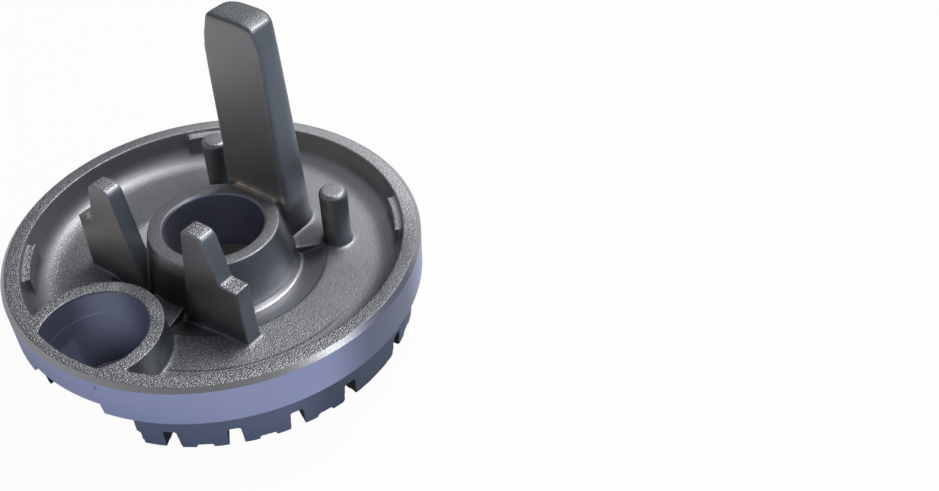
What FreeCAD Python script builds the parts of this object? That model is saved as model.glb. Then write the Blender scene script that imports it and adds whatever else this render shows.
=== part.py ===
# Gas burner cap: one die-cast aluminium flame spreader, upside down on the tips of its ported crown
import FreeCAD, Part
import Sketcher
import os

# The frame: +Z up, the bore's axis on Z, the crown's tips on z = 0, the igniter window towards -Y

NODE = "burner_cap_casting"
SIZES = {
    # Rim and crown, turned about the bore
    "rim_d": 75.0,
    "rim_z": 17.2,
    "rim_bevel": 0.75,
    "lip_w": 3.3,
    "band_z": 9.1,
    "band_step": 1.2,
    "tip_inset": 2.0,
    "tip_w": 5.0,
    "seat_w": 1.6,
    "seat_h": 0.35,
    "crown_draft": 1.85,
    # Trough on the leg side, and the plate between it and the crown's dish
    "trough_draft": 1.6,
    "trough_z": 10.9,
    "trough_fillet": 4.8,
    "plate_h": 1.9,
    "disc_r": 21.4,
    "disc_step": 1.1,
    "disc_z": 6.4,
    # Bore and its collar
    "bore_r": 9.0,
    "bore_bevel": 0.4,
    "collar_w": 2.8,
    "collar_draft": 2.0,
    "collar_z": 19.6,
    # Shallow channel round the collar's foot
    "channel_r": 19.9,
    "channel_w": 1.3,
    "channel_h": 1.7,
    "channel_foot": 0.9,
    "channel_sweep": 121.0,
    "channel_turn": -14.5,
    # Main ports, cut in rows between the wide blocks
    "port_w": 2.6,
    "port_h": 4.7,
    "port_draft": 3.0,
    "port_pitch": 17.0,
    # Small ports: a shallow groove over a niche in the crown's inner wall
    "groove_w": 2.7,
    "groove_h": 1.05,
    "niche_w": 3.0,
    "niche_in": 1.0,
    "niche_h": 6.8,
    "wide_groove_w": 6.5,
    "wide_niche_w": 7.4,
    # Igniter window: a D-shaped tube through the trough, open through the crown wall
    "tube_inset": 8.7,
    "tube_r": 9.0,
    "tube_w": 2.5,
    "tube_lip": 2.4,
    "window_w": 23.6,
    "window_d": 5.3,
    "notch_w": 16.6,
    "notch_h": 2.2,
    # Tall guide leg opposite the window
    "leg_y": 11.3,
    "leg_w": 13.0,
    "leg_d": 6.8,
    "leg_round": 4.5,
    "leg_z": 55.5,
    "leg_foot_w": 14.0,
    "leg_foot_d": 9.6,
    "leg_bevel_w": 2.6,
    "leg_bevel_h": 0.6,
    "leg_shoulder_w": 1.3,
    "leg_shoulder_h": 4.4,
    "leg_edge": 0.35,
    # Two stepped fins beside the window
    "fin_y": 13.9,
    "fin_w": 3.25,
    "fin_in": 4.8,
    "fin_lean": 3.7,
    "fin_out": 19.4,
    "fin_draft": 0.55,
    "fin_ledge": 3.6,
    "fin_ledge_z": 22.9,
    "fin_top_w": 4.7,
    "fin_z": 32.2,
    "fin_round": 1.6,
    # Two round locating pins, and the pads that the ejectors push on
    "pin_x": 14.7,
    "pin_y": 16.4,
    "pin_r": 2.65,
    "pin_z": 22.9,
    "pin_bevel": 0.6,
    "pad_in": 1.6,
    "pad_drop": 0.8,
    "pad_sweep": 17.0,
}
FULL_TURN = 360.0
QUARTER = 90.0
# How far cuts run past the form, the pads' share of the lip's inner wall, and how close two lengths
# must be to count as the same
OVERREACH = 1.2
PAD_SHARE = 0.6
MATCH = 0.02
PAD_ANGLES = (45.0, 135.0, 225.0)
WIDE_BLOCK_ANGLES = (0.0, 90.0, 180.0)
# Each row of main ports: where it starts, in quarters from +X, whether it runs on from a wide block
# (else up to the next one), and how many ports it has
PORT_ROWS = (("first", 0, True, 5), ("second", 1, True, 5), ("third", 2, True, 4), ("fourth", 3, False, 4))

doc = FreeCAD.newDocument("BurnerCap")
sheet = doc.addObject("Spreadsheet::Sheet", "Sizes")
for row, (alias, number) in enumerate(SIZES.items(), start=1):
    sheet.set(f"A{row}", alias)
    sheet.set(f"B{row}", str(number))
    sheet.setAlias(f"B{row}", alias)
doc.recompute()


class Size:
    """A length as a formula on the sheet, with the value it has now."""

    def __init__(self, text, value):
        self.text = text
        self.value = value

    def __add__(self, other):
        other = as_size(other)
        return Size(f"({self.text} + {other.text})", self.value + other.value)

    def __sub__(self, other):
        other = as_size(other)
        return Size(f"({self.text} - {other.text})", self.value - other.value)

    def __mul__(self, other):
        other = as_size(other)
        return Size(f"({self.text} * {other.text})", self.value * other.value)

    def __truediv__(self, other):
        other = as_size(other)
        return Size(f"({self.text} / {other.text})", self.value / other.value)

    def __neg__(self):
        return Size(f"(0 - {self.text})", -self.value)


def as_size(thing):
    if isinstance(thing, Size):
        return thing
    return Size(str(float(thing)), float(thing))


def size(alias):
    return Size(f"Sizes.{alias}", float(sheet.get(alias)))


def bind(thing, prop, value):
    """Gives a feature's size its formula."""
    value = as_size(value)
    setattr(thing, prop, value.value)
    thing.setExpression(prop, value.text)


body = doc.addObject("PartDesign::Body", "Casting")
body.Label = NODE
origin = {feature.Role: feature for feature in body.Origin.OriginFeatures}


def new_sketch(name, plane, rise=0.0, turn=0.0, turn_axis=(0, 0, 1)):
    """A sketch on one of the body's planes, raised along its normal and turned about the bore."""
    sketch = body.newObject("Sketcher::SketchObject", name)
    sketch.AttachmentSupport = [(origin[plane], "")]
    sketch.MapMode = "FlatFace"
    rise = as_size(rise)
    turn = as_size(turn)
    rotation = FreeCAD.Rotation(FreeCAD.Vector(*turn_axis), turn.value)
    sketch.AttachmentOffset = FreeCAD.Placement(FreeCAD.Vector(0, 0, rise.value), rotation)
    if rise.value:
        sketch.setExpression("AttachmentOffset.Base.z", rise.text)
    if turn.value:
        sketch.setExpression("AttachmentOffset.Rotation.Angle", turn.text)
    return sketch


def dimension(sketch, kind, places, value):
    value = as_size(value)
    index = sketch.addConstraint(Sketcher.Constraint(kind, *places, value.value))
    sketch.setExpression(f"Constraints[{index}]", value.text)


def pin_point(sketch, edge, end, at):
    """Fixes one end of an edge by its two distances from the sketch's origin."""
    dimension(sketch, "DistanceX", (-1, 1, edge, end), at[0])
    dimension(sketch, "DistanceY", (-1, 1, edge, end), at[1])


def vector(at):
    return FreeCAD.Vector(as_size(at[0]).value, as_size(at[1]).value, 0)


def draw_polygon(sketch, points):
    """A closed outline of straight edges, each corner fixed by the sheet."""
    points = [(as_size(x), as_size(y)) for x, y in points]
    edges = []
    for start, end in zip(points, points[1:] + points[:1]):
        edges.append(sketch.addGeometry(Part.LineSegment(vector(start), vector(end))))
    for edge, following in zip(edges, edges[1:] + edges[:1]):
        sketch.addConstraint(Sketcher.Constraint("Coincident", edge, 2, following, 1))
    for edge, start in zip(edges, points):
        pin_point(sketch, edge, 1, start)


def draw_box(sketch, x_low, x_high, y_low, y_high):
    draw_polygon(sketch, [(x_low, y_low), (x_high, y_low), (x_high, y_high), (x_low, y_high)])


def draw_circle(sketch, at, radius):
    radius = as_size(radius)
    circle = sketch.addGeometry(Part.Circle(vector(at), FreeCAD.Vector(0, 0, 1), radius.value))
    pin_point(sketch, circle, 3, at)
    dimension(sketch, "Radius", (circle,), radius)


def extrude(kind, name, sketch, length, **settings):
    feature = body.newObject(kind, name)
    feature.Profile = sketch
    feature.Refine = False
    bind(feature, "Length", length)
    for prop, value in settings.items():
        setattr(feature, prop, value)
    return feature


def pad(name, sketch, length):
    return extrude("PartDesign::Pad", name, sketch, length)


def cut_up(name, sketch, length, draft=0.0):
    """A pocket along the sketch's normal, closing in by its draft."""
    pocket = extrude("PartDesign::Pocket", name, sketch, length, Reversed=True)
    if as_size(draft).value:
        bind(pocket, "TaperAngle", -as_size(draft))
    return pocket


def mirror(name, features):
    mirrored = body.newObject("PartDesign::Mirrored", name)
    mirrored.Originals = features
    mirrored.Refine = False
    mirrored.MirrorPlane = (origin["YZ_Plane"], [""])
    body.Tip = mirrored


def repeat(name, features, sweep, count):
    pattern = body.newObject("PartDesign::PolarPattern", name)
    pattern.Originals = features
    pattern.Refine = False
    pattern.Axis = (origin["Z_Axis"], [""])
    pattern.Occurrences = count
    bind(pattern, "Angle", sweep)
    body.Tip = pattern


# Levels and radii that several features share
rim_r = size("rim_d") / 2
lip_r = rim_r - size("lip_w")
trough_r = lip_r - size("trough_draft")
tip_r = rim_r - size("tip_inset")
tip_in_r = tip_r - size("tip_w")
dish_r = tip_in_r - size("crown_draft")
dish_z = size("trough_z") - size("plate_h")
collar_r = size("bore_r") + size("collar_w")
collar_foot_r = collar_r + size("collar_draft")
past_rim = rim_r * OVERREACH

# The turned form: crown, machined band, lip, trough, collar, bore and dish in one section
section = new_sketch("casting_section", "XZ_Plane")
draw_polygon(section, [
    (tip_in_r, 0),
    (tip_r - size("seat_w"), 0),
    (tip_r - size("seat_w"), size("seat_h")),
    (tip_r, size("seat_h")),
    (rim_r - size("band_step"), size("band_z")),
    (rim_r, size("band_z")),
    (rim_r, size("rim_z") - size("rim_bevel")),
    (rim_r - size("rim_bevel"), size("rim_z")),
    (lip_r, size("rim_z")),
    (trough_r, size("trough_z")),
    (collar_foot_r, size("trough_z")),
    (collar_r, size("collar_z")),
    (size("bore_r") + size("bore_bevel"), size("collar_z")),
    (size("bore_r"), size("collar_z") - size("bore_bevel")),
    (size("bore_r"), size("disc_z") + size("bore_bevel")),
    (size("bore_r") + size("bore_bevel"), size("disc_z")),
    (size("disc_r"), dish_z - size("disc_step")),
    (size("disc_r"), dish_z),
    (dish_r, dish_z),
])
turned = body.newObject("PartDesign::Revolution", "turned_form")
turned.Profile = section
turned.ReferenceAxis = (section, ["V_Axis"])
turned.Angle = FULL_TURN
doc.recompute()


def dress_edges(kind, prop, name, amount, chosen):
    """Dresses the edges of the tip that the test picks."""
    doc.recompute()
    base = body.Tip
    names = []
    for number, edge in enumerate(base.Shape.Edges, start=1):
        if chosen(edge):
            names.append(f"Edge{number}")
    dressing = body.newObject(kind, name)
    dressing.Base = (base, names)
    bind(dressing, prop, amount)
    doc.recompute()


def round_edges(name, radius, chosen):
    dress_edges("PartDesign::Fillet", "Radius", name, radius, chosen)


def bevel_edges(name, width, chosen):
    dress_edges("PartDesign::Chamfer", "Size", name, width, chosen)


def near(first, second):
    return abs(first - second) < MATCH


def is_ring(edge, radius, level):
    box = edge.BoundBox
    return near(box.ZMin, level) and near(box.ZMax, level) and near(box.XMax, radius)


# The trough's wall runs into its floor in a broad curve
trough_corner = (trough_r.value, size("trough_z").value)
round_edges("trough_curve", size("trough_fillet"), lambda edge: is_ring(edge, *trough_corner))

# The channel round the collar's foot, on both sides of the window
channel_section = new_sketch("channel_section", "XZ_Plane", turn=size("channel_turn"), turn_axis=(0, 1, 0))
channel_z = size("trough_z") - size("channel_h")
draw_polygon(channel_section, [
    (size("channel_r"), size("trough_z")),
    (collar_foot_r + size("channel_w"), channel_z),
    (collar_foot_r + size("channel_foot"), channel_z),
    (collar_foot_r, channel_z + size("channel_foot")),
    (collar_foot_r, size("trough_z")),
])
channel = body.newObject("PartDesign::Groove", "collar_channel")
channel.Profile = channel_section
channel.ReferenceAxis = (channel_section, ["V_Axis"])
channel.Midplane = True
bind(channel, "Angle", size("channel_sweep"))
mirror("collar_channel_pair", [channel])

# Pads in the trough stand on the plate, a little above its crown side
foot_z = (dish_z + channel_z) / 2


def draw_tube(sketch, radius, limit):
    """A circle about the window's axis, cut off by a larger one about the bore."""
    radius = as_size(radius)
    limit = as_size(limit)
    middle = rim_r - size("tube_inset")
    level = -(limit.value**2 - radius.value**2 + middle.value**2) / (2 * middle.value)
    half = (limit.value**2 - level**2) ** 0.5
    right = FreeCAD.Vector(half, level, 0)
    left = FreeCAD.Vector(-half, level, 0)
    top = FreeCAD.Vector(0, radius.value - middle.value, 0)
    bottom = FreeCAD.Vector(0, -limit.value, 0)
    inner = sketch.addGeometry(Part.Arc(right, top, left))
    outer = sketch.addGeometry(Part.Arc(left, bottom, right))
    sketch.addConstraint(Sketcher.Constraint("Coincident", inner, 2, outer, 1))
    sketch.addConstraint(Sketcher.Constraint("Coincident", outer, 2, inner, 1))
    sketch.addConstraint(Sketcher.Constraint("Coincident", outer, 3, -1, 1))
    pin_point(sketch, inner, 3, (0, -middle))
    dimension(sketch, "Radius", (inner,), radius)
    dimension(sketch, "Radius", (outer,), limit)


# The window's tube stands as high as the crown on one side and the lip on the other
tube_outline = new_sketch("tube_outline", "XY_Plane")
draw_tube(tube_outline, size("tube_r") + size("tube_w"), (lip_r + tip_r) / 2)
pad("tube_wall", tube_outline, size("rim_z"))


def draw_leg(sketch, width, depth):
    """A flat face towards the bore and a rounded back."""
    half = width / 2
    face = size("leg_y")
    back = face + depth
    corner = size("leg_round")
    side = back - corner
    shoulder = half - corner
    right = (half, face)
    left = (-half, face)
    points = [left, right, (half, side), (shoulder, back), (-shoulder, back), (-half, side)]
    middles = {2: (shoulder, side, 1), 4: (-shoulder, side, -1)}
    edges = []
    for number, (start, end) in enumerate(zip(points, points[1:] + points[:1])):
        if number in middles:
            x, y, way = middles[number]
            reach = corner.value * 0.5**0.5
            bulge = FreeCAD.Vector(x.value + way * reach, y.value + reach, 0)
            edges.append(sketch.addGeometry(Part.Arc(vector(start), bulge, vector(end))))
        else:
            edges.append(sketch.addGeometry(Part.LineSegment(vector(start), vector(end))))
    for edge, following in zip(edges, edges[1:] + edges[:1]):
        sketch.addConstraint(Sketcher.Constraint("Coincident", edge, 2, following, 1))
    for number, start in enumerate(points):
        pin_point(sketch, edges[number], 1, start)
    for number, (x, y, way) in middles.items():
        dimension(sketch, "DistanceX", (-1, 1, edges[number], 3), x)


# The tall leg tapers from a deep foot behind the collar to its rounded top
leg_foot = new_sketch("leg_foot", "XY_Plane", rise=foot_z)
draw_leg(leg_foot, size("leg_foot_w"), size("leg_foot_d"))
leg_top = new_sketch("leg_top", "XY_Plane", rise=size("leg_z"))
draw_leg(leg_top, size("leg_w"), size("leg_d"))
leg = body.newObject("PartDesign::AdditiveLoft", "tall_leg")
leg.Profile = leg_foot
leg.Sections = [leg_top]
leg.Ruled = True
leg_half = size("leg_foot_w") / 2
leg_shoulder_x = size("leg_w") / 2 - size("leg_shoulder_w")
leg_shoulder_drop = size("leg_shoulder_h") / size("leg_shoulder_w") * (leg_half - leg_shoulder_x)
leg_bevel_x = leg_shoulder_x - size("leg_bevel_w")
leg_back = -(size("leg_y") + size("leg_foot_d"))
leg_bevel = new_sketch("leg_bevel", "XZ_Plane", rise=leg_back)
draw_polygon(leg_bevel, [
    (leg_bevel_x, size("leg_z")),
    (leg_half, size("leg_z")),
    (leg_half, size("leg_z") - size("leg_bevel_h") - leg_shoulder_drop),
    (leg_shoulder_x, size("leg_z") - size("leg_bevel_h")),
])
cut_up("leg_top_bevel", leg_bevel, size("leg_foot_d"))
leg_shoulder = new_sketch("leg_shoulder", "XZ_Plane", rise=leg_back)
draw_polygon(leg_shoulder, [
    (-leg_shoulder_x, size("leg_z")),
    (-leg_half, size("leg_z")),
    (-leg_half, size("leg_z") - leg_shoulder_drop),
])
cut_up("leg_left_shoulder", leg_shoulder, size("leg_foot_d"))

# The stepped fins lie along the window's side of the collar
fin_step_r = size("fin_out") - size("fin_draft")
fin_blade_r = fin_step_r - size("fin_ledge")
fin_top_r = size("fin_in") + size("fin_lean")
fin_side = new_sketch("fin_side", "XZ_Plane", rise=size("fin_y") - size("fin_w"))
draw_polygon(fin_side, [
    (size("fin_in"), foot_z),
    (size("fin_out"), foot_z),
    (fin_step_r, size("fin_ledge_z")),
    (fin_blade_r, size("fin_ledge_z")),
    (fin_top_r + size("fin_top_w"), size("fin_z")),
    (fin_top_r, size("fin_z")),
])
fin = pad("fin", fin_side, size("fin_w"))
mirror("fin_pair", [fin])

# The locating pins
pin_outline = new_sketch("pin_outline", "XY_Plane", rise=foot_z)
draw_circle(pin_outline, (size("pin_x"), size("pin_y")), size("pin_r"))
pin = pad("pin", pin_outline, size("pin_z") - foot_z)
mirror("pin_pair", [pin])


def draw_sector(sketch, inner, outer, sweep):
    """Part of a ring about the bore, the same on both sides of the sketch's X axis."""
    radii = (as_size(inner), as_size(outer))
    sweep = as_size(sweep)
    half = FreeCAD.Units.parseQuantity(f"{sweep.value / 2} deg").getValueAs("rad").Value
    arcs = []
    for radius in radii:
        circle = Part.Circle(FreeCAD.Vector(), FreeCAD.Vector(0, 0, 1), radius.value)
        arcs.append(sketch.addGeometry(Part.ArcOfCircle(circle, -half, half)))
    ends = []
    for end in (1, 2):
        inner_end = sketch.getPoint(arcs[0], end)
        outer_end = sketch.getPoint(arcs[1], end)
        ends.append(sketch.addGeometry(Part.LineSegment(inner_end, outer_end)))
    for number, radius in enumerate(radii):
        sketch.addConstraint(Sketcher.Constraint("Coincident", arcs[number], 3, -1, 1))
        dimension(sketch, "Radius", (arcs[number],), radius)
    for number, end in enumerate(ends):
        sketch.addConstraint(Sketcher.Constraint("Coincident", end, 1, arcs[0], number + 1))
        sketch.addConstraint(Sketcher.Constraint("Coincident", end, 2, arcs[1], number + 1))
        sketch.addConstraint(Sketcher.Constraint("PointOnObject", -1, 1, end))
    sketch.addConstraint(Sketcher.Constraint("Symmetric", arcs[0], 1, arcs[0], 2, -1))
    turn = Sketcher.Constraint("Angle", arcs[0], 2 * half)
    index = sketch.addConstraint(turn)
    sketch.setExpression(f"Constraints[{index}]", f"{sweep.text} * 1 deg")


# The ejector pads inside the lip
pad_h = (size("rim_z") - size("trough_z")) * PAD_SHARE
pad_outline = new_sketch(
    "pad_outline", "XY_Plane", rise=size("rim_z") - size("pad_drop") - pad_h, turn=PAD_ANGLES[0])
draw_sector(pad_outline, lip_r - size("pad_in"), lip_r + size("pad_in"), size("pad_sweep"))
ejector_pad = pad("ejector_pad", pad_outline, pad_h)
repeat("ejector_pads", [ejector_pad], PAD_ANGLES[-1] - PAD_ANGLES[0], len(PAD_ANGLES))

# The window: through the tube, then out through the crown wall and the foot of the band
mouth = new_sketch("tube_mouth", "XY_Plane")
draw_tube(mouth, size("tube_r"), rim_r - size("tube_lip"))
cut_up("tube_bore", mouth, size("rim_z") * OVERREACH)
window_y = rim_r - size("window_d")
window = new_sketch("window_outline", "XY_Plane")
draw_box(window, -size("window_w") / 2, size("window_w") / 2, -past_rim, -window_y)
cut_up("window", window, size("band_z"))
notch = new_sketch("notch_outline", "XY_Plane")
draw_box(notch, -size("notch_w") / 2, size("notch_w") / 2, -past_rim, -window_y)
cut_up("band_notch", notch, size("band_z") + size("notch_h"))


def radial_cut(name, turn, reach, width, depth, draft=0.0):
    """A cut up into the crown, from inside the dish out to the reach."""
    sketch = new_sketch(f"{name}_outline", "XY_Plane", turn=turn)
    half = as_size(width) / 2
    draw_box(sketch, dish_r - size("crown_draft"), reach, -half, half)
    return cut_up(name, sketch, depth, draft)


# The crown's ports: each row has deep main ports, and a small port over a niche in each block between
pitch = size("port_pitch")
first_port = as_size(QUARTER / 2) - pitch * 2
niche_r = tip_in_r + size("niche_in")
for row, quarter, from_block, count in PORT_ROWS:
    if from_block:
        start = first_port + QUARTER * quarter
    else:
        start = -first_port - pitch * (count - 1) + QUARTER * (quarter + 1)
    middle = start + pitch / 2
    port = radial_cut(f"{row}_port", start, past_rim, size("port_w"), size("port_h"), size("port_draft"))
    repeat(f"{row}_ports", [port], pitch * (count - 1), count)
    groove = radial_cut(f"{row}_groove", middle, past_rim, size("groove_w"), size("groove_h"))
    niche = radial_cut(f"{row}_niche", middle, niche_r, size("niche_w"), size("niche_h"))
    repeat(f"{row}_small_ports", [groove, niche], pitch * (count - 2), count - 1)

# The wide blocks have a blind groove and a wide niche
seat_r = tip_r - size("seat_w")
wide_groove = radial_cut("wide_groove", WIDE_BLOCK_ANGLES[0], seat_r, size("wide_groove_w"), size("groove_h"))
wide_niche = radial_cut("wide_niche", WIDE_BLOCK_ANGLES[0], niche_r, size("wide_niche_w"), size("niche_h"))
wide_sweep = WIDE_BLOCK_ANGLES[-1] - WIDE_BLOCK_ANGLES[0]
repeat("wide_blocks", [wide_groove, wide_niche], wide_sweep, len(WIDE_BLOCK_ANGLES))


def at_level(edge, level):
    return near(edge.BoundBox.ZMin, level) and near(edge.BoundBox.ZMax, level)


def runs_along_y(edge):
    return near(edge.BoundBox.XLength, 0) and near(edge.BoundBox.YLength, size("fin_w").value)


def is_leg_top(edge):
    return at_level(edge, size("leg_z").value) and edge.BoundBox.XMin < leg_bevel_x.value - MATCH


def is_pin_top(edge):
    return at_level(edge, size("pin_z").value) and near(edge.BoundBox.XLength, 2 * size("pin_r").value)


# Softer edges on the tops of the fins, leg and pins
round_edges("fin_tops", size("fin_round"), lambda edge: at_level(edge, size("fin_z").value) and runs_along_y(edge))
bevel_edges("leg_top_edge", size("leg_edge"), is_leg_top)
bevel_edges("pin_tops", size("pin_bevel"), is_pin_top)

# Every object must have come out whole before anything is written
doc.recompute()
for thing in doc.Objects:
    if "Invalid" in thing.State or "Error" in thing.State:
        raise RuntimeError(f"{thing.Name} failed: {thing.State}")
shape = body.Shape
if shape.isNull() or not shape.isValid() or len(shape.Solids) != 1:
    raise RuntimeError(f"{NODE} is not one valid solid")
os.makedirs("parts", exist_ok=True)
shape.exportStep(f"parts/{NODE}.step")
print(NODE, "volume", round(shape.Volume, 1), "cubic mm")
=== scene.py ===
# Gas burner cap: the looks of a die-cast burner head that stands upside down on its ported crown
import math
from types import SimpleNamespace

import bmesh
import bpy
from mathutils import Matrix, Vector


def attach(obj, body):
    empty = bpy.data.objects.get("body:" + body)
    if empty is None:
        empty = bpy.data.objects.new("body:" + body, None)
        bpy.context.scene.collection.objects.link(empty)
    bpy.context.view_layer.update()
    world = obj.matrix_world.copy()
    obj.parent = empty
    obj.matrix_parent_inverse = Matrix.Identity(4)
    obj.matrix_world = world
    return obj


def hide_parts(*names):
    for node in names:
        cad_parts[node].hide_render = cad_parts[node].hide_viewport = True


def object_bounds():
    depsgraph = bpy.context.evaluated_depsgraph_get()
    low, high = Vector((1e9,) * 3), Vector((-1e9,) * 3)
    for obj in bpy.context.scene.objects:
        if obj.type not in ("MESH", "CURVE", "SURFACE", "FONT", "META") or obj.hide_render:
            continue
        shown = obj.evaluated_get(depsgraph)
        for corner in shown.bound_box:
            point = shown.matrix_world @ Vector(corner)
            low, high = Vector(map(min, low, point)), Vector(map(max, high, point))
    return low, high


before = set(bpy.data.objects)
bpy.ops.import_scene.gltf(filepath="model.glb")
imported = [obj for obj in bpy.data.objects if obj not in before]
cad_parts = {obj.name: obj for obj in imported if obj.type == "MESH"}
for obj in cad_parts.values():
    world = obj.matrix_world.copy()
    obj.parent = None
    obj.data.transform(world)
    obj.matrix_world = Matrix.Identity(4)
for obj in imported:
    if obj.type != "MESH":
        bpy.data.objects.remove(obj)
cad_low, cad_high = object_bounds()

# Sizes in metres, in the frame's own axes: +Z up, the bore on Z, the igniter window towards -Y
MM = 0.001
CASTING = "burner_cap_casting"
EDGE_NOTE = "edge_note"
RIM_R = cad_high.x
RIM_Z = 17.2 * MM
RIM_BEVEL = 0.75 * MM
BAND_Z = 9.1 * MM
LIP_R = RIM_R - 3.3 * MM
TROUGH_Z = 10.9 * MM
CROWN_R = RIM_R - 9 * MM
COLLAR_Z = 19.6 * MM
COLLAR_EDGE = 16 * MM
CHANNEL_R = 19.9 * MM
BORE_R = 9 * MM
TUBE_R = 9 * MM
TUBE_Y = -28.8 * MM
PARTING_Z = 12.3 * MM
SEAM_R = 27.8 * MM
NOTCH_W = 16.6 * MM
NOTCH_H = 2.2 * MM
LEG_Y = 11.3 * MM
LEG_Z = 55.5 * MM
LEG_EDGE_X = 5 * MM
# The centres of the painted shadow between the fins and by the leg
BETWEEN_FINS = (1 * MM, -14 * MM, 0)
BY_LEG = (10 * MM, 13 * MM, 0)
TUBE_AXIS = (0, TUBE_Y, 0)

# The skin of the casting: how finely it is meshed, and how far its edges and corners are rounded
SKIN_VOXEL = 0.2 * MM
EDGE_ROUNDS = 2
LEG_EDGE_ROUNDS = 40
EDGE_REACH = 8
EDGE_SCALE = 0.1 * MM
CORNER_ROUNDS = 12
CORNER_SHARE = 0.8
WAVE_DEPTH = 0.03 * MM
WAVE_LENGTH = 5 * MM
SKIN_TRIANGLES = 180000
WELD = 0.001 * MM

# The turned band: how deep its ring lies in the skin, how far the skin keeps back under it
BAND_DEPTH = 1.1 * MM
BAND_CLEAR = 0.07 * MM
BAND_STEPS = 720
SHARP_EDGE = math.radians(25)

# The grain of the cast skin, and how much of it there is in its smoother places
GRAIN_SIZE = 0.3 * MM
GRAIN_DEPTH = 0.13 * MM
GRAIN_STRENGTH = 0.7
COLLAR_SMOOTH = 0.65
BACK_GRAIN = 0.5
FLOOR_GRAIN = 0.55
LEAST_GRAIN = 0.25

# The finish of the two metals, with the scales of their cloudy tones and pits and the lathe's lines
METAL = 0.9
CAST_ROUGH = 0.42
CAST_CLOUDS = 120.0
TURNED_ROUGH = 0.28
TURNED_CLOUDS = 60.0
TURNED_PITS = 160.0
LATHE_LINES = 9000.0
LATHE_DEPTH = 0.02 * MM
LATHE_STRENGTH = 0.12

# Colours of the casting
SKIN_DARK = (0.20, 0.205, 0.217, 1)
SKIN_PALE = (0.265, 0.27, 0.284, 1)
SPECKLE_DARK = (0.085, 0.088, 0.094, 1)
SPECKLE_PALE = (0.54, 0.54, 0.56, 1)
# Painted light on up-facing surfaces at the back
BACK_PAINTED_LIGHT = (0.50, 0.505, 0.52, 1)
# Painted highlight in the right of the channel
CHANNEL_PAINTED_HIGHLIGHT = (0.42, 0.42, 0.45, 1)
# Painted shade on the left, the channel's left and the lip's front and right
PAINTED_SHADE_GREY = (0.10, 0.104, 0.11, 1)
# Painted reflection on upright faces towards the window
FRONT_PAINTED_REFLECTION = (0.42, 0.385, 0.37, 1)
# Painted shade on upright faces to the right
RIGHT_PAINTED_SHADE = (0.16, 0.18, 0.215, 1)
# Painted shade on the leg's top
LEG_TOP_PAINTED_SHADE = (0.165, 0.18, 0.185, 1)
# Painted shadow between the fins and by the leg
PAINTED_SHADOW = (0.06, 0.062, 0.066, 1)
WORN_EDGE = (0.50, 0.50, 0.50, 1)
# Painted shade in corners
CORNER_PAINTED_SHADE = (0.12, 0.12, 0.115, 1)
FLASH_BROWN = (0.66, 0.57, 0.49, 1)
LINE_DARK = (0.06, 0.06, 0.065, 1)
SEAM_DARK = (0.05, 0.05, 0.055, 1)
CROWN_GREY = (0.22, 0.255, 0.37, 1)
# Painted shade on the crown's wall to the right
CROWN_PAINTED_SHADE = (0.12, 0.14, 0.20, 1)
# Painted shade in the ports
PORT_PAINTED_SHADE = (0.03, 0.031, 0.036, 1)
BORE_GREY = (0.36, 0.37, 0.47, 1)
TUBE_GREY = (0.30, 0.31, 0.42, 1)
PARTING_PALE = (0.55, 0.56, 0.60, 1)

# Colours of the turned band
BAND_BLUE = (0.41, 0.435, 0.68, 1)
BAND_PALE = (0.47, 0.495, 0.74, 1)
# Painted shade on the band's right
BAND_PAINTED_SHADE = (0.17, 0.18, 0.25, 1)
# A paler bevel: painted highlight
BEVEL_HIGHLIGHT_GREY = (0.49, 0.49, 0.50, 1)
BEVEL_HIGHLIGHT_PALE = (0.59, 0.59, 0.60, 1)
PIT_DARK = (0.12, 0.12, 0.14, 1)

# The studio: its floor, how white that shows to the camera, in reflections and under the part, and the sky
FLOOR_SIZE = 3.0
FLOOR_ROUGH = 0.9
FLOOR_GREY = (0.4, 0.4, 0.4, 1)
# Painted shadow on the floor under the part
FLOOR_PAINTED_SHADOW = (0.2, 0.2, 0.22, 1)
FLOOR_WHITE = (1, 1, 1, 1)
FLOOR_MIRRORED = (0.8, 0.93, 1.1, 1)
CAMERA_SHARE = 0.96
MIRROR_SHARE = 0.25
UNDER_SHARE = 0.018
SKY_LOW = (0.40, 0.41, 0.42, 1)
SKY_HIGH = (0.11, 0.118, 0.135, 1)
LAMP_DISTANCE = 0.6

# The photograph's camera, in its frame of 939 by 491 pixels
FRAME_PX = (939, 491)
FOCAL_PX = 1013.73
VIEW_AZIMUTH = math.radians(32.941)
VIEW_ELEVATION = math.radians(41.508)
VIEW_DISTANCE = 187.46 * MM
AIM_ASIDE = 46.406 * MM
AIM_Z = 14.256 * MM
SENSOR_MM = 36
CLIP_START = 10 * MM


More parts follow.
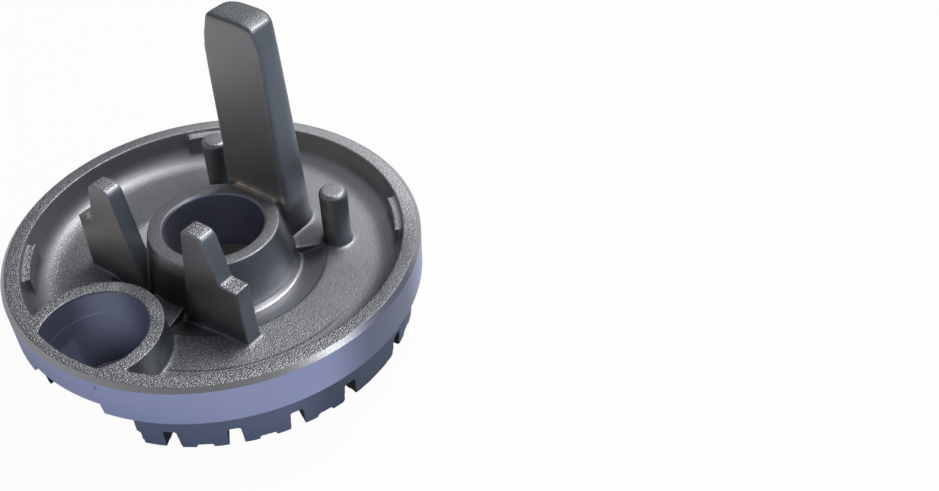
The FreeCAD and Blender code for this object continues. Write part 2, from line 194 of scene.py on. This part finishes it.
class Tree:
    """Adds nodes to a shader or geometry tree, and feeds values or links into their sockets."""

    def __init__(self, tree):
        self.tree = tree

    def feed(self, socket, value):
        if isinstance(value, bpy.types.NodeSocket):
            self.tree.links.new(value, socket)
        else:
            socket.default_value = value

    def add(self, kind, inputs=None, **settings):
        node = self.tree.nodes.new(kind)
        for name, value in settings.items():
            setattr(node, name, value)
        for socket, value in (inputs or {}).items():
            self.feed(node.inputs[socket], value)
        return node

    def math(self, operation, *values):
        node = self.add("ShaderNodeMath", operation=operation)
        for socket, value in zip(node.inputs, values):
            self.feed(socket, value)
        return node.outputs[0]

    def vector(self, operation, *values, output="Vector"):
        node = self.add("ShaderNodeVectorMath", operation=operation)
        for socket, value in zip(node.inputs, values):
            self.feed(socket, value)
        return node.outputs[output]

    def scaled(self, vector, share):
        node = self.add("ShaderNodeVectorMath", {"Vector": vector, "Scale": share}, operation="SCALE")
        return node.outputs["Vector"]

    def step(self, value, low, high):
        """0 below low, 1 above high and smooth between them; falls instead if low is above high."""
        start, end, low, high = (0.0, 1.0, low, high) if low < high else (1.0, 0.0, high, low)
        node = self.add("ShaderNodeMapRange", interpolation_type="SMOOTHSTEP")
        for name, number in (("From Min", low), ("From Max", high), ("To Min", start), ("To Max", end)):
            node.inputs[name].default_value = number
        self.feed(node.inputs["Value"], value)
        return node.outputs["Result"]

    def mix(self, share, first, second):
        """A blend of two colours, by the sockets that the node keeps for colours."""
        node = self.add("ShaderNodeMix", data_type="RGBA", clamp_factor=True)
        self.feed(node.inputs["Factor"], share)
        self.feed(node.inputs[6], first)
        self.feed(node.inputs[7], second)
        return node.outputs[2]

    def laid(self, tone, zone, strength, colour):
        """A tone with a colour laid over it in a zone."""
        return self.mix(self.math("MULTIPLY", zone, strength), tone, colour)

    def times(self, first, *others):
        for other in others:
            first = self.math("MULTIPLY", first, other)
        return first

    def most(self, first, *others):
        for other in others:
            first = self.math("MAXIMUM", first, other)
        return first

    def rest_of(self, share):
        return self.math("SUBTRACT", 1.0, share)

    def near(self, value, centre, far, close):
        """1 within close of the centre, 0 beyond far from it and smooth between them."""
        return self.step(self.math("ABSOLUTE", self.math("SUBTRACT", value, centre)), far, close)

    def clouds(self, place, scale, detail):
        inputs = {"Vector": place, "Scale": scale, "Detail": detail}
        return self.add("ShaderNodeTexNoise", inputs).outputs["Fac"]

    def near_point(self, place, point, far, close):
        away = self.vector("SUBTRACT", place, point)
        return self.step(self.vector("LENGTH", away, output="Value"), far, close)


def new_socket(tree, name, kind, way="INPUT"):
    return tree.interface.new_socket(name, in_out=way, socket_type=f"NodeSocket{kind}")


def polar(tree, position):
    """A point's distance from the bore's axis, its height and its place with the height left out."""
    parts = tree.add("ShaderNodeSeparateXYZ", {"Vector": position})
    flat = tree.add("ShaderNodeCombineXYZ", {"X": parts.outputs["X"], "Y": parts.outputs["Y"]})
    radius = tree.vector("LENGTH", flat.outputs["Vector"], output="Value")
    return radius, parts.outputs["Z"], flat.outputs["Vector"]


def between(tree, value, low, high):
    return tree.times(tree.math("GREATER_THAN", value, low), tree.math("LESS_THAN", value, high))


def sunkenness(tree, position, normal, rounds):
    """How far a point lies below the mean of those round it: more than 0 in a corner, less on an edge."""
    near = tree.add("GeometryNodeBlurAttribute", {"Iterations": rounds}, data_type="FLOAT_VECTOR")
    tree.feed(near.inputs["Value"], position)
    away = tree.vector("SUBTRACT", near.outputs["Value"], position)
    return tree.vector("DOT_PRODUCT", away, normal, output="Value")


def skin_tree(cast):
    """Rounds a finely meshed solid as a casting is: corners filled, edges soft, room left for the band."""
    group = bpy.data.node_groups.new("cast_skin", "GeometryNodeTree")
    group.is_modifier = True
    new_socket(group, "Geometry", "Geometry")
    new_socket(group, "Corner rounds", "Int")
    new_socket(group, "Corner share", "Float")
    new_socket(group, "Edge rounds", "Int")
    new_socket(group, "Leg edge rounds", "Int")
    new_socket(group, "Wave depth", "Float")
    new_socket(group, "Wave length", "Float")
    new_socket(group, "Geometry", "Geometry", "OUTPUT")
    tree = Tree(group)
    given = tree.add("NodeGroupInput").outputs
    position = tree.add("GeometryNodeInputPosition").outputs["Position"]
    normal = tree.add("GeometryNodeInputNormal").outputs["Normal"]
    radius, height, flat = polar(tree, position)

    # Corners on the leg side fill up, as the die's rounded edges leave them
    in_trough = tree.times(tree.math("LESS_THAN", radius, LIP_R + MM),
                           tree.math("GREATER_THAN", height, TROUGH_Z - 0.3 * MM))
    start = tree.add("GeometryNodeRepeatInput")
    end = tree.add("GeometryNodeRepeatOutput")
    start.pair_with_output(end)
    tree.feed(start.inputs["Iterations"], given["Corner rounds"])
    tree.feed(start.inputs["Geometry"], given["Geometry"])
    sunk = sunkenness(tree, position, normal, 1)
    filled = tree.times(tree.most(sunk, 0.0), given["Corner share"], in_trough)
    fill = tree.add("GeometryNodeSetPosition", {"Geometry": start.outputs["Geometry"],
                                                "Offset": tree.scaled(normal, filled)})
    tree.feed(end.inputs["Geometry"], fill.outputs["Geometry"])

    # Every edge is softened, and keeps a note of how sharp it was
    note = tree.math("DIVIDE", sunkenness(tree, position, normal, EDGE_REACH), EDGE_SCALE)
    noted = tree.add("GeometryNodeStoreNamedAttribute", {"Name": EDGE_NOTE, "Value": note},
                     data_type="FLOAT", domain="POINT")
    tree.feed(noted.inputs["Geometry"], end.outputs["Geometry"])
    soft = tree.add("GeometryNodeBlurAttribute", data_type="FLOAT_VECTOR")
    tree.feed(soft.inputs["Iterations"], given["Edge rounds"])
    tree.feed(soft.inputs["Value"], position)
    softened = tree.add("GeometryNodeSetPosition", {"Geometry": noted.outputs["Geometry"],
                                                    "Position": soft.outputs["Value"]})

    # The leg's top and the edge on the right of its face are rounder than the rest
    across = tree.add("ShaderNodeSeparateXYZ", {"Vector": position}).outputs
    by_edge = tree.times(tree.step(across["X"], LEG_EDGE_X - 1.5 * MM, LEG_EDGE_X),
                         tree.step(height, COLLAR_Z, COLLAR_Z + 2 * MM),
                         between(tree, across["Y"], LEG_Y - MM, LEG_Y + 2.5 * MM))
    by_top = tree.step(height, LEG_Z - 7 * MM, LEG_Z - MM)
    rounder = tree.add("GeometryNodeBlurAttribute", data_type="FLOAT_VECTOR")
    tree.feed(rounder.inputs["Iterations"], given["Leg edge rounds"])
    tree.feed(rounder.inputs["Weight"], tree.most(by_edge, by_top))
    tree.feed(rounder.inputs["Value"], position)
    softened = tree.add("GeometryNodeSetPosition", {"Geometry": softened.outputs["Geometry"],
                                                    "Position": rounder.outputs["Value"]})

    # The skin waves a little
    wave = tree.add("ShaderNodeTexNoise", {"Vector": position, "Detail": 1.0})
    tree.feed(wave.inputs["Scale"], tree.math("DIVIDE", 1.0, given["Wave length"]))
    swing = tree.math("MULTIPLY", tree.math("SUBTRACT", wave.outputs["Fac"], 0.5), given["Wave depth"])
    waved = tree.add("GeometryNodeSetPosition", {"Geometry": softened.outputs["Geometry"],
                                                 "Offset": tree.scaled(normal, swing)})

    # Under the turned band it keeps back a little from the wall, the bevel and the foot
    by_band = tree.times(tree.math("GREATER_THAN", radius, RIM_R - BAND_DEPTH),
                         tree.math("GREATER_THAN", height, BAND_Z - 0.5 * MM))
    bevel_limit = tree.math("SUBTRACT", RIM_R + RIM_Z - RIM_BEVEL - BAND_CLEAR, height)
    limit = tree.math("MINIMUM", bevel_limit, RIM_R - BAND_CLEAR)
    kept_radius = tree.math("MINIMUM", radius, limit)
    kept_height = tree.math("MAXIMUM", height, BAND_Z + BAND_CLEAR)
    kept_flat = tree.scaled(flat, tree.math("DIVIDE", kept_radius, radius))
    lift = tree.add("ShaderNodeCombineXYZ", {"Z": kept_height}).outputs["Vector"]
    kept = tree.add("GeometryNodeSetPosition", {"Geometry": waved.outputs["Geometry"], "Selection": by_band,
                                                "Position": tree.vector("ADD", kept_flat, lift)})
    smooth = tree.add("GeometryNodeSetShadeSmooth", {"Geometry": kept.outputs["Geometry"]})
    whole = tree.add("GeometryNodeRealizeInstances", {"Geometry": smooth.outputs["Geometry"]})
    skin = tree.add("GeometryNodeSetMaterial", {"Geometry": whole.outputs["Geometry"], "Material": cast})
    out = tree.add("NodeGroupOutput")
    tree.feed(out.inputs["Geometry"], skin.outputs["Geometry"])
    return group


def set_inputs(modifier, values):
    for item in modifier.node_group.interface.items_tree:
        if item.item_type == "SOCKET" and item.in_out == "INPUT" and item.name in values:
            modifier[item.identifier] = values[item.name]


def settle(piece):
    """Replaces a piece's mesh by what its modifiers make of it."""
    shaped = piece.evaluated_get(bpy.context.evaluated_depsgraph_get())
    mesh = bpy.data.meshes.new_from_object(shaped)
    piece.modifiers.clear()
    piece.data = mesh


def turned_ring():
    """The band as the lathe leaves it: a crisp bevelled ring, its foot raised over the window."""
    ring = bmesh.new()
    inside = RIM_R - BAND_DEPTH
    section = [(inside, BAND_Z), (RIM_R, BAND_Z), (RIM_R, RIM_Z - RIM_BEVEL), (RIM_R - RIM_BEVEL, RIM_Z),
               (inside, RIM_Z - RIM_BEVEL)]
    corners = [ring.verts.new((radius, 0, height)) for radius, height in section]
    sides = [ring.edges.new(pair) for pair in zip(corners, corners[1:] + corners[:1])]
    bmesh.ops.spin(ring, geom=corners + sides, axis=(0, 0, 1), angle=2 * math.pi, steps=BAND_STEPS)
    bmesh.ops.remove_doubles(ring, verts=ring.verts, dist=WELD)
    for corner in ring.verts:
        over_window = corner.co.y < 0 and abs(corner.co.x) < NOTCH_W / 2
        if over_window and corner.co.z < BAND_Z + NOTCH_H:
            corner.co.z = BAND_Z + NOTCH_H
    bmesh.ops.recalc_face_normals(ring, faces=ring.faces)
    for side in ring.edges:
        side.smooth = side.calc_face_angle(0) < SHARP_EDGE
    for face in ring.faces:
        face.smooth = True
        face.material_index = 1
    mesh = bpy.data.meshes.new("turned_ring")
    ring.to_mesh(mesh)
    ring.free()
    return mesh


def make_casting(cast, turned):
    """The whole casting, from the frame's solid, with the band turned on it."""
    solid = bmesh.new()
    solid.from_mesh(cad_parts[CASTING].data)
    bmesh.ops.remove_doubles(solid, verts=solid.verts, dist=WELD)
    mesh = bpy.data.meshes.new("casting")
    solid.to_mesh(mesh)
    solid.free()
    piece = bpy.data.objects.new("burner_cap_skin", mesh)
    bpy.context.scene.collection.objects.link(piece)
    fine = piece.modifiers.new("fine_mesh", "REMESH")
    fine.mode = "VOXEL"
    fine.voxel_size = SKIN_VOXEL
    skin = piece.modifiers.new("cast_skin", "NODES")
    skin.node_group = skin_tree(cast)
    set_inputs(skin, {"Corner rounds": CORNER_ROUNDS, "Corner share": CORNER_SHARE,
                      "Edge rounds": EDGE_ROUNDS, "Leg edge rounds": LEG_EDGE_ROUNDS,
                      "Wave depth": WAVE_DEPTH, "Wave length": WAVE_LENGTH})
    settle(piece)
    triangles = sum(len(face.vertices) - 2 for face in piece.data.polygons)
    thin = piece.modifiers.new("thin_out", "DECIMATE")
    thin.ratio = min(1.0, SKIN_TRIANGLES / triangles)
    settle(piece)
    whole = bmesh.new()
    whole.from_mesh(piece.data)
    whole.from_mesh(turned_ring())
    whole.to_mesh(piece.data)
    whole.free()
    piece.data.materials.append(turned)
    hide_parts(CASTING)
    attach(piece, "root")


def material(name):
    made = bpy.data.materials.new(name)
    made.use_nodes = True
    tree = Tree(made.node_tree)
    shader = made.node_tree.nodes["Principled BSDF"]
    return made, tree, shader


def grain_group():
    """The grain of a cast skin: a height for its bumps and a tone for its speckle."""
    group = bpy.data.node_groups.new("cast_grain", "ShaderNodeTree")
    new_socket(group, "Size", "Float")
    new_socket(group, "Height", "Float", "OUTPUT")
    new_socket(group, "Speckle", "Float", "OUTPUT")
    tree = Tree(group)
    given = tree.add("NodeGroupInput").outputs
    place = tree.add("ShaderNodeTexCoord").outputs["Object"]
    scale = tree.math("DIVIDE", 1.0, given["Size"])
    pebbles = tree.add("ShaderNodeTexVoronoi", {"Vector": place, "Scale": scale}, feature="F1")
    fine = tree.add("ShaderNodeTexNoise", {"Vector": place, "Detail": 2.0})
    tree.feed(fine.inputs["Scale"], tree.math("MULTIPLY", scale, 1.2))
    roughened = tree.math("MULTIPLY", fine.outputs["Fac"], 0.7)
    out = tree.add("NodeGroupOutput")
    tree.feed(out.inputs["Height"], tree.math("SUBTRACT", roughened, pebbles.outputs["Distance"]))
    tree.feed(out.inputs["Speckle"], tree.step(fine.outputs["Fac"], 0.38, 0.66))
    return group


def surface(tree):
    """Where a point of the surface lies, and which way it faces."""
    coords = tree.add("ShaderNodeTexCoord").outputs
    radius, height, flat = polar(tree, coords["Object"])
    across = tree.add("ShaderNodeSeparateXYZ", {"Vector": coords["Object"]}).outputs
    facing = tree.add("ShaderNodeSeparateXYZ", {"Vector": coords["Normal"]}).outputs
    return SimpleNamespace(place=coords["Object"], normal=coords["Normal"],
                           radius=radius, height=height, flat=flat, x=across["X"], y=across["Y"],
                           facing_x=facing["X"], facing_y=facing["Y"], facing_z=facing["Z"])


def coarseness(tree, at, up, high):
    """How coarse the grain is: most on the front lip and the tops, less on the collar and at the back."""
    collar = tree.times(tree.step(at.radius, COLLAR_EDGE, COLLAR_EDGE - MM),
                        tree.step(at.height, COLLAR_Z + 1.5 * MM, COLLAR_Z + MM))
    to_front = tree.step(at.y, 8 * MM, -10 * MM)
    by_place = tree.math("ADD", BACK_GRAIN, tree.times(to_front, 1 - BACK_GRAIN))
    on_tops = tree.times(high, tree.rest_of(tree.times(collar, COLLAR_SMOOTH)), by_place)
    on_floor = tree.times(to_front, FLOOR_GRAIN, tree.rest_of(collar))
    return tree.times(tree.most(on_tops, on_floor, LEAST_GRAIN), up)


def paint_light_and_shade_by_place(tree, at, tone, in_channel, high):
    """Painted light, paler, at the back and in the channel's right; painted shade, duller, on the left and
    on the lip's front and right.
    """
    # Painted light: up-facing surfaces at the back are laid paler
    back = tree.times(tree.step(at.y, 8 * MM, 32 * MM), tree.step(at.facing_z, 0.4, 0.8))
    tone = tree.laid(tone, back, 0.7, BACK_PAINTED_LIGHT)
    # Painted highlight in the right of the channel
    right_channel = tree.times(in_channel, tree.step(at.x, 2 * MM, 10 * MM))
    tone = tree.laid(tone, right_channel, 0.5, CHANNEL_PAINTED_HIGHLIGHT)
    # Painted shade on the left, in the channel's left and on the lip's front and right, laid in one grey
    left = tree.times(tree.step(at.x, -6 * MM, -26 * MM), tree.step(at.y, 12 * MM, -6 * MM))
    left_channel = tree.times(in_channel, tree.step(at.x, 0.0, -4 * MM))
    lip = tree.times(tree.step(at.radius, LIP_R - 0.5 * MM, LIP_R), high)
    front_lip = tree.times(lip, tree.step(at.y, 10 * MM, -10 * MM))
    right_lip = tree.times(lip, tree.step(at.y, -14 * MM, 0.0), tree.step(at.x, 22 * MM, 32 * MM))
    painted_shade = tree.most(tree.times(left, 0.2), tree.times(left_channel, 0.75),
                     tree.times(front_lip, 0.15), tree.times(right_lip, 0.6))
    return tree.mix(painted_shade, tone, PAINTED_SHADE_GREY)


def paint_light_and_shade_by_facing(tree, at, tone):
    """Painted reflection, browner, on upright faces towards the window; painted shade, bluer, on those to
    the right; painted shade, duller, on the leg's top.
    """
    # Painted reflection: upright faces towards the window are laid lighter and browner
    front = tree.times(tree.step(at.facing_y, -0.75, -0.95), tree.step(at.height, 12 * MM, 16 * MM))
    tone = tree.laid(tone, front, 0.9, FRONT_PAINTED_REFLECTION)
    # Painted shade on upright faces to the right, inside the trough
    right = tree.times(tree.step(at.facing_x, 0.55, 0.9), tree.step(at.height, TROUGH_Z, TROUGH_Z + MM),
                       tree.step(at.radius, LIP_R - 4 * MM, LIP_R - 6 * MM))
    tone = tree.laid(tone, right, 0.85, RIGHT_PAINTED_SHADE)
    # Painted shade on the up-facing top of the leg
    top = tree.times(tree.step(at.facing_z, 0.3, 0.6), tree.step(at.height, LEG_Z - 8 * MM, LEG_Z - 6 * MM))
    return tree.laid(tone, top, 0.8, LEG_TOP_PAINTED_SHADE)


def wear_and_painted_shadow(tree, at, tone, clouds):
    """Painted shadow between the fins and by the leg, worn edges, painted shade in corners, and flash along
    the leg's foot.
    """
    # Painted shadow between the fins and by the leg, on the lower places
    low = tree.step(at.height, COLLAR_Z - MM, COLLAR_Z - 3 * MM)
    by_fins = tree.near_point(at.flat, BETWEEN_FINS, 8.5 * MM, 4 * MM)
    by_leg = tree.near_point(at.flat, BY_LEG, 7 * MM, 3 * MM)
    tone = tree.laid(tone, tree.times(tree.most(by_fins, by_leg), low), 0.75, PAINTED_SHADOW)
    edge = tree.add("ShaderNodeAttribute", attribute_name=EDGE_NOTE).outputs["Fac"]
    tone = tree.laid(tone, tree.step(edge, -0.5, -2.0), 0.12, WORN_EDGE)
    # Painted shade in corners, where the edge note finds the skin sunken
    tone = tree.laid(tone, tree.step(edge, 0.5, 2.0), 0.4, CORNER_PAINTED_SHADE)
    flash = tree.times(tree.near(at.y, LEG_Y - 0.3 * MM, MM, 0.4 * MM),
                       tree.near(at.height, COLLAR_Z + 0.5 * MM, MM, 0.4 * MM), tree.step(clouds, 0.3, 0.5))
    return tree.laid(tone, flash, 0.8, FLASH_BROWN)


def draw_lines(tree, at, tone, in_channel, up):
    """A thin dark line along the channel's outer edge, and a fainter one on the trough's floor in front."""
    outline = tree.times(tree.step(at.radius, CHANNEL_R - 0.5 * MM, CHANNEL_R - 0.3 * MM), in_channel,
                         tree.step(at.facing_z, 0.5, 0.7))
    tone = tree.laid(tone, outline, 0.8, LINE_DARK)
    to_front_right = tree.step(tree.math("SUBTRACT", at.x, at.y), 24 * MM, 32 * MM)
    seam = tree.times(tree.near(at.radius, SEAM_R, 0.22 * MM, 0.1 * MM), to_front_right,
                      tree.step(at.height, TROUGH_Z + 1.5 * MM, TROUGH_Z + 0.8 * MM), up)
    return tree.laid(tone, seam, 0.7, SEAM_DARK)


def shade_openings(tree, at, tone, crown):
    """The crown's wall, with painted shade on its right and in its ports, the bore and the window's tube,
    which has a parting line.
    """
    outward = tree.vector("DOT_PRODUCT", tree.vector("NORMALIZE", at.flat), at.normal, output="Value")
    # Painted shade on the crown's wall to the right
    wall = tree.mix(tree.step(at.x, 31 * MM, 35 * MM), CROWN_GREY, CROWN_PAINTED_SHADE)
    # Painted shade on the ports' side walls, which do not face outward
    tone = tree.mix(crown, tone, tree.mix(tree.step(outward, 0.5, 0.8), PORT_PAINTED_SHADE, wall))
    bore = tree.times(tree.step(at.radius, BORE_R + 0.4 * MM, BORE_R + 0.1 * MM),
                      tree.step(at.height, COLLAR_Z - 0.1 * MM, COLLAR_Z - 0.5 * MM))
    tone = tree.mix(bore, tone, BORE_GREY)
    tube = tree.times(tree.near_point(at.flat, TUBE_AXIS, TUBE_R + 0.4 * MM, TUBE_R + 0.1 * MM),
                      tree.step(at.height, RIM_Z - 0.2 * MM, RIM_Z - 0.7 * MM))
    tone = tree.mix(tube, tone, TUBE_GREY)
    parting = tree.times(tree.step(at.x, -6 * MM, -7 * MM),
                         tree.near(at.height, PARTING_Z, 0.14 * MM, 0.08 * MM), tube)
    return tree.mix(parting, tone, PARTING_PALE)


def cast_aluminium(grain):
    """Grey die-cast skin: grained where it faces up, smoother on the walls, with painted light and shade in
    places and painted shade in its ports.
    """
    made, tree, shader = material("cast_aluminium")
    at = surface(tree)
    in_channel = tree.times(tree.step(at.radius, CHANNEL_R + 0.3 * MM, CHANNEL_R + 0.1 * MM),
                            tree.step(at.height, TROUGH_Z - 0.02 * MM, TROUGH_Z - 0.12 * MM))
    up = tree.times(tree.step(at.facing_z, 0.80, 0.97), tree.rest_of(in_channel))
    high = tree.step(at.height, RIM_Z - 2 * MM, RIM_Z - MM)
    crown = tree.times(tree.step(at.radius, CROWN_R, CROWN_R + MM),
                       tree.step(at.height, BAND_Z, BAND_Z - 0.2 * MM))
    coarse = coarseness(tree, at, up, high)
    grained = tree.add("ShaderNodeGroup", node_tree=grain)
    grained.inputs["Size"].default_value = GRAIN_SIZE
    clouds = tree.clouds(at.place, CAST_CLOUDS, 3.0)

    # The colour, from the plain skin to the places that differ from it, painted light and shade among them
    tone = tree.mix(clouds, SKIN_DARK, SKIN_PALE)
    tone = tree.laid(tone, coarse, 0.65, tree.mix(grained.outputs["Speckle"], SPECKLE_DARK, SPECKLE_PALE))
    tone = paint_light_and_shade_by_place(tree, at, tone, in_channel, high)
    tone = paint_light_and_shade_by_facing(tree, at, tone)
    tone = wear_and_painted_shadow(tree, at, tone, clouds)
    tone = draw_lines(tree, at, tone, in_channel, up)
    tone = shade_openings(tree, at, tone, crown)
    tree.feed(shader.inputs["Base Color"], tone)

    # The finish, and the grain's bumps
    shader.inputs["Metallic"].default_value = METAL
    rough = tree.math("ADD", CAST_ROUGH, tree.times(up, 0.08))
    tree.feed(shader.inputs["Roughness"], tree.math("ADD", rough, tree.times(crown, 0.15)))
    relief = tree.times(grained.outputs["Height"], tree.math("ADD", 0.15, coarse))
    bump = tree.add("ShaderNodeBump", {"Height": relief})
    bump.inputs["Strength"].default_value = GRAIN_STRENGTH
    bump.inputs["Distance"].default_value = GRAIN_DEPTH
    tree.feed(shader.inputs["Normal"], bump.outputs["Normal"])
    return made


def turned_aluminium():
    """The machined outer band: smooth, with fine lines, a few pits, a paler bevel as painted highlight and
    painted shade on the right.
    """
    made, tree, shader = material("turned_aluminium")
    at = surface(tree)
    clouds = tree.clouds(at.place, TURNED_CLOUDS, 2.0)
    wall = tree.mix(clouds, BAND_BLUE, BAND_PALE)
    # The up-facing bevel is painted paler than the wall: a painted highlight
    bevel = tree.mix(clouds, BEVEL_HIGHLIGHT_GREY, BEVEL_HIGHLIGHT_PALE)
    tone = tree.mix(tree.step(at.facing_z, 0.3, 0.5), wall, bevel)
    # Painted shade on the band's right
    painted_shade = tree.times(tree.near(at.y, 3 * MM, 17 * MM, 5 * MM), tree.step(at.x, 30 * MM, 35 * MM))
    tone = tree.laid(tone, painted_shade, 0.9, BAND_PAINTED_SHADE)
    pits = tree.add("ShaderNodeTexVoronoi", {"Vector": at.place, "Scale": TURNED_PITS}, feature="F1")
    tone = tree.laid(tone, tree.step(pits.outputs["Distance"], 0.07, 0.04), 0.6, PIT_DARK)
    tree.feed(shader.inputs["Base Color"], tone)
    shader.inputs["Metallic"].default_value = METAL
    shader.inputs["Roughness"].default_value = TURNED_ROUGH
    lines = tree.add("ShaderNodeTexNoise", {"Scale": 1.0}, noise_dimensions="1D")
    tree.feed(lines.inputs["W"], tree.math("MULTIPLY", at.height, LATHE_LINES))
    bump = tree.add("ShaderNodeBump", {"Height": lines.outputs["Fac"]})
    bump.inputs["Strength"].default_value = LATHE_STRENGTH
    bump.inputs["Distance"].default_value = LATHE_DEPTH
    tree.feed(shader.inputs["Normal"], bump.outputs["Normal"])
    return made


def make_floor():
    """A pale floor: white to the camera, in reflections too, with the shadow kept, painted shadow in a
    darker grey under the part, and clear from below.
    """
    bpy.ops.mesh.primitive_plane_add(size=FLOOR_SIZE)
    floor = bpy.context.object
    floor.name = "studio_floor"
    made, tree, shader = material("pale_floor")
    shader.inputs["Roughness"].default_value = FLOOR_ROUGH
    path = tree.add("ShaderNodeLightPath").outputs
    radius = polar(tree, tree.add("ShaderNodeTexCoord").outputs["Object"])[0]
    open_floor = tree.step(radius, RIM_R - 10 * MM, RIM_R - 6 * MM)
    # Painted shadow: a darker floor grey under the part
    tree.feed(shader.inputs["Base Color"], tree.mix(open_floor, FLOOR_PAINTED_SHADOW, FLOOR_GREY))
    mirrored = tree.most(path["Is Glossy Ray"], path["Is Transmission Ray"])
    seen = tree.most(tree.times(path["Is Camera Ray"], CAMERA_SHARE), tree.times(mirrored, MIRROR_SHARE))
    glow = tree.add("ShaderNodeEmission")
    tree.feed(glow.inputs["Color"], tree.mix(path["Is Camera Ray"], FLOOR_MIRRORED, FLOOR_WHITE))
    blend = tree.add("ShaderNodeMixShader", {"Fac": tree.times(seen, tree.most(open_floor, UNDER_SHARE))})
    tree.feed(blend.inputs[1], shader.outputs["BSDF"])
    tree.feed(blend.inputs[2], glow.outputs["Emission"])
    from_below = tree.add("ShaderNodeNewGeometry").outputs["Backfacing"]
    clear = tree.add("ShaderNodeMixShader", {"Fac": tree.times(from_below, path["Is Camera Ray"])})
    tree.feed(clear.inputs[1], blend.outputs["Shader"])
    tree.feed(clear.inputs[2], tree.add("ShaderNodeBsdfTransparent").outputs["BSDF"])
    tree.feed(made.node_tree.nodes["Material Output"].inputs["Surface"], clear.outputs["Shader"])
    floor.data.materials.append(made)


def around(azimuth, elevation, distance):
    """A point round the object, as the camera's own angles count it."""
    flat = math.cos(elevation) * distance
    return Vector((math.sin(azimuth) * flat, -math.cos(azimuth) * flat, math.sin(elevation) * distance))


def make_lamp(name, azimuth, elevation, width, watts, colour):
    data = bpy.data.lights.new(name, "AREA")
    data.shape = "DISK"
    data.size = width
    data.energy = watts
    data.color = colour
    lamp = bpy.data.objects.new(name, data)
    lamp.location = around(math.radians(azimuth), math.radians(elevation), LAMP_DISTANCE)
    lamp.rotation_euler = (-lamp.location).to_track_quat("-Z", "Y").to_euler()
    bpy.context.scene.collection.objects.link(lamp)


def make_lights():
    """A sky that is paler near the ground, a softbox behind the part and a lamp on its right."""
    world = bpy.data.worlds.new("studio")
    bpy.context.scene.world = world
    world.use_nodes = True
    sky = world.node_tree.nodes["Background"]
    tree = Tree(world.node_tree)
    way = tree.add("ShaderNodeTexCoord").outputs["Generated"]
    rise = tree.add("ShaderNodeSeparateXYZ", {"Vector": way}).outputs["Z"]
    tree.feed(sky.inputs["Color"], tree.mix(tree.step(rise, 0.35, 0.75), SKY_LOW, SKY_HIGH))
    sky.inputs["Strength"].default_value = 1.0
    make_lamp("key_softbox", azimuth=164, elevation=60, width=0.36, watts=3.3, colour=(1.0, 0.99, 0.97))
    make_lamp("front_lamp", azimuth=106, elevation=47, width=0.24, watts=1.0, colour=(0.95, 0.97, 1.0))


def make_camera():
    data = bpy.data.cameras.new("photograph_camera")
    camera = bpy.data.objects.new("photograph_camera", data)
    bpy.context.scene.collection.objects.link(camera)
    bpy.context.scene.camera = camera
    data.sensor_width = SENSOR_MM
    data.lens = SENSOR_MM * FOCAL_PX / FRAME_PX[0]
    data.clip_start = CLIP_START
    aside = Vector((math.cos(VIEW_AZIMUTH), math.sin(VIEW_AZIMUTH), 0))
    aim = aside * AIM_ASIDE + Vector((0, 0, AIM_Z))
    back = around(VIEW_AZIMUTH, VIEW_ELEVATION, VIEW_DISTANCE)
    camera.location = aim + back
    camera.rotation_euler = (-back).to_track_quat("-Z", "Y").to_euler()


cast_grain = grain_group()
make_casting(cast_aluminium(cast_grain), turned_aluminium())
make_floor()
make_lights()
make_camera()
bpy.context.scene.view_settings.view_transform = "Standard"
